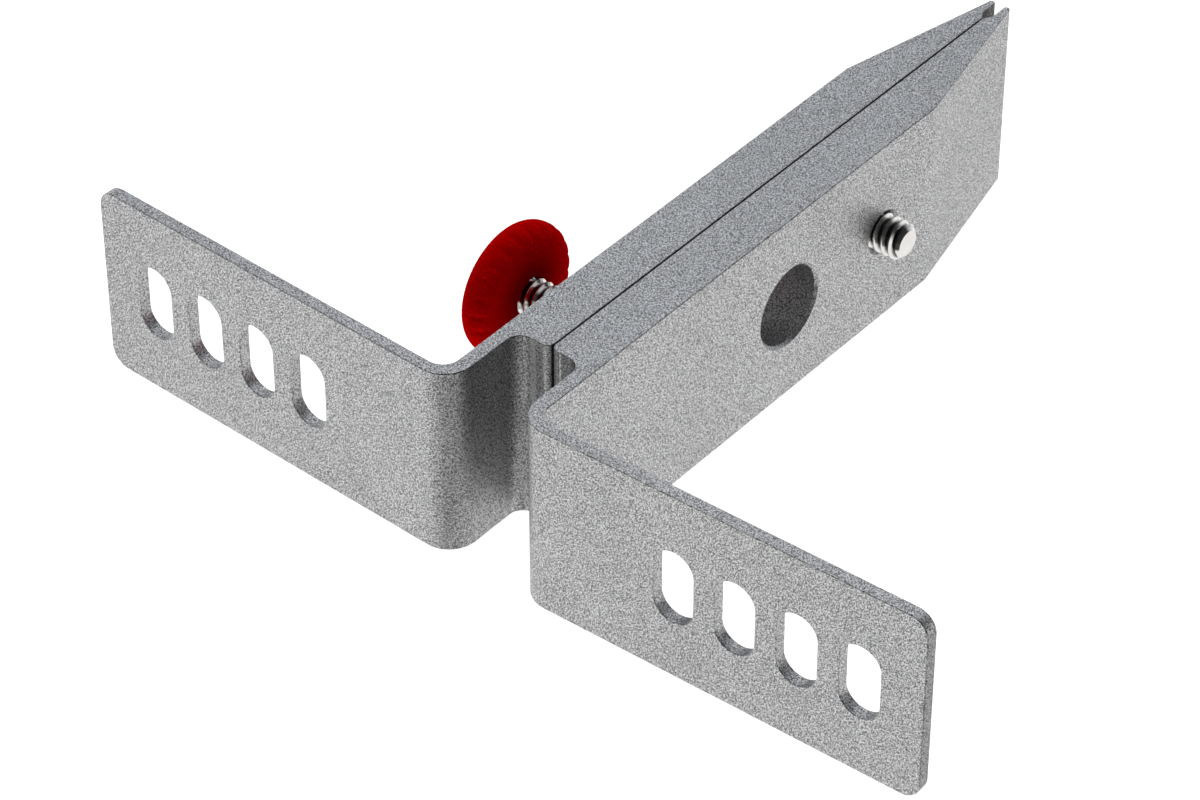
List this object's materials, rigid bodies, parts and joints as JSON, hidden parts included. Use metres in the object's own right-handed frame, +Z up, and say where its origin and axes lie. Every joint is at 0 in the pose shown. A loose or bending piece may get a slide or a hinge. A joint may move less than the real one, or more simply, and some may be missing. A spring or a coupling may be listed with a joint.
{
  "type": "edge sharpening clamp",
  "caption": "Two-jaw aluminium clamp that holds an edge and guides sharpening rods through slotted wings; front clamp screw and red rear thumb screw.",
  "frame": {"origin": "on the surface the clamp stands on, under the middle of its bounding box", "axes": "+X forwards from the slotted wings to the clamping lips, +Y from the right jaw to the left jaw that carries the thumb screw, +Z up along the extrusion"},
  "size_m": [0.0964, 0.1168, 0.0254],
  "materials": {
    "jaw_aluminium": "tumbled, fine-grained satin",
    "plated_steel": "bright plated",
    "red_plastic": "satin moulded"
  },
  "bodies": {
    "right_jaw": {"right_jaw": "jaw_aluminium"},
    "left_jaw": {"left_jaw": "jaw_aluminium"},
    "front_washer": {"front_washer": "plated_steel"},
    "front_screw": {"front_screw": "plated_steel"},
    "thumb_stud": {"thumb_stud": "plated_steel"},
    "thumb_knob": {"thumb_knob": "red_plastic"}
  },
  "joints": [
    {"name": "jaw_open", "type": "hinge", "parent": "right_jaw", "child": "left_jaw", "pos_m": [-0.0357, 0, 0.0127], "axis": [0, 0, 1], "range_deg": [0, 3]},
    {"name": "front_screw_travel", "type": "slide", "parent": "right_jaw", "child": "front_washer", "axis": [0, 1, 0], "range_m": [0, 0.00306]},
    {"name": "front_screw_turn", "type": "hinge", "parent": "front_washer", "child": "front_screw", "pos_m": [0.0167, 0, 0.0127], "axis": [0, 1, 0], "range_deg": [0, 1036]},
    {"name": "thumb_screw_travel", "type": "slide", "parent": "left_jaw", "child": "thumb_stud", "axis": [0, 1, 0], "range_m": [0, 0.00317]},
    {"name": "thumb_screw_turn", "type": "hinge", "parent": "thumb_stud", "child": "thumb_knob", "pos_m": [-0.0186, 0, 0.0127], "axis": [0, 1, 0], "range_deg": [0, 1083]}
  ],
  "couplings": [
    {"joint": "front_screw_travel", "follows": "jaw_open", "m_per_rad": 0.058},
    {"joint": "front_screw_turn", "follows": "jaw_open", "ratio": 344.34},
    {"joint": "thumb_screw_turn", "follows": "thumb_screw_travel", "rad_per_m": 5936.9}
  ]
}
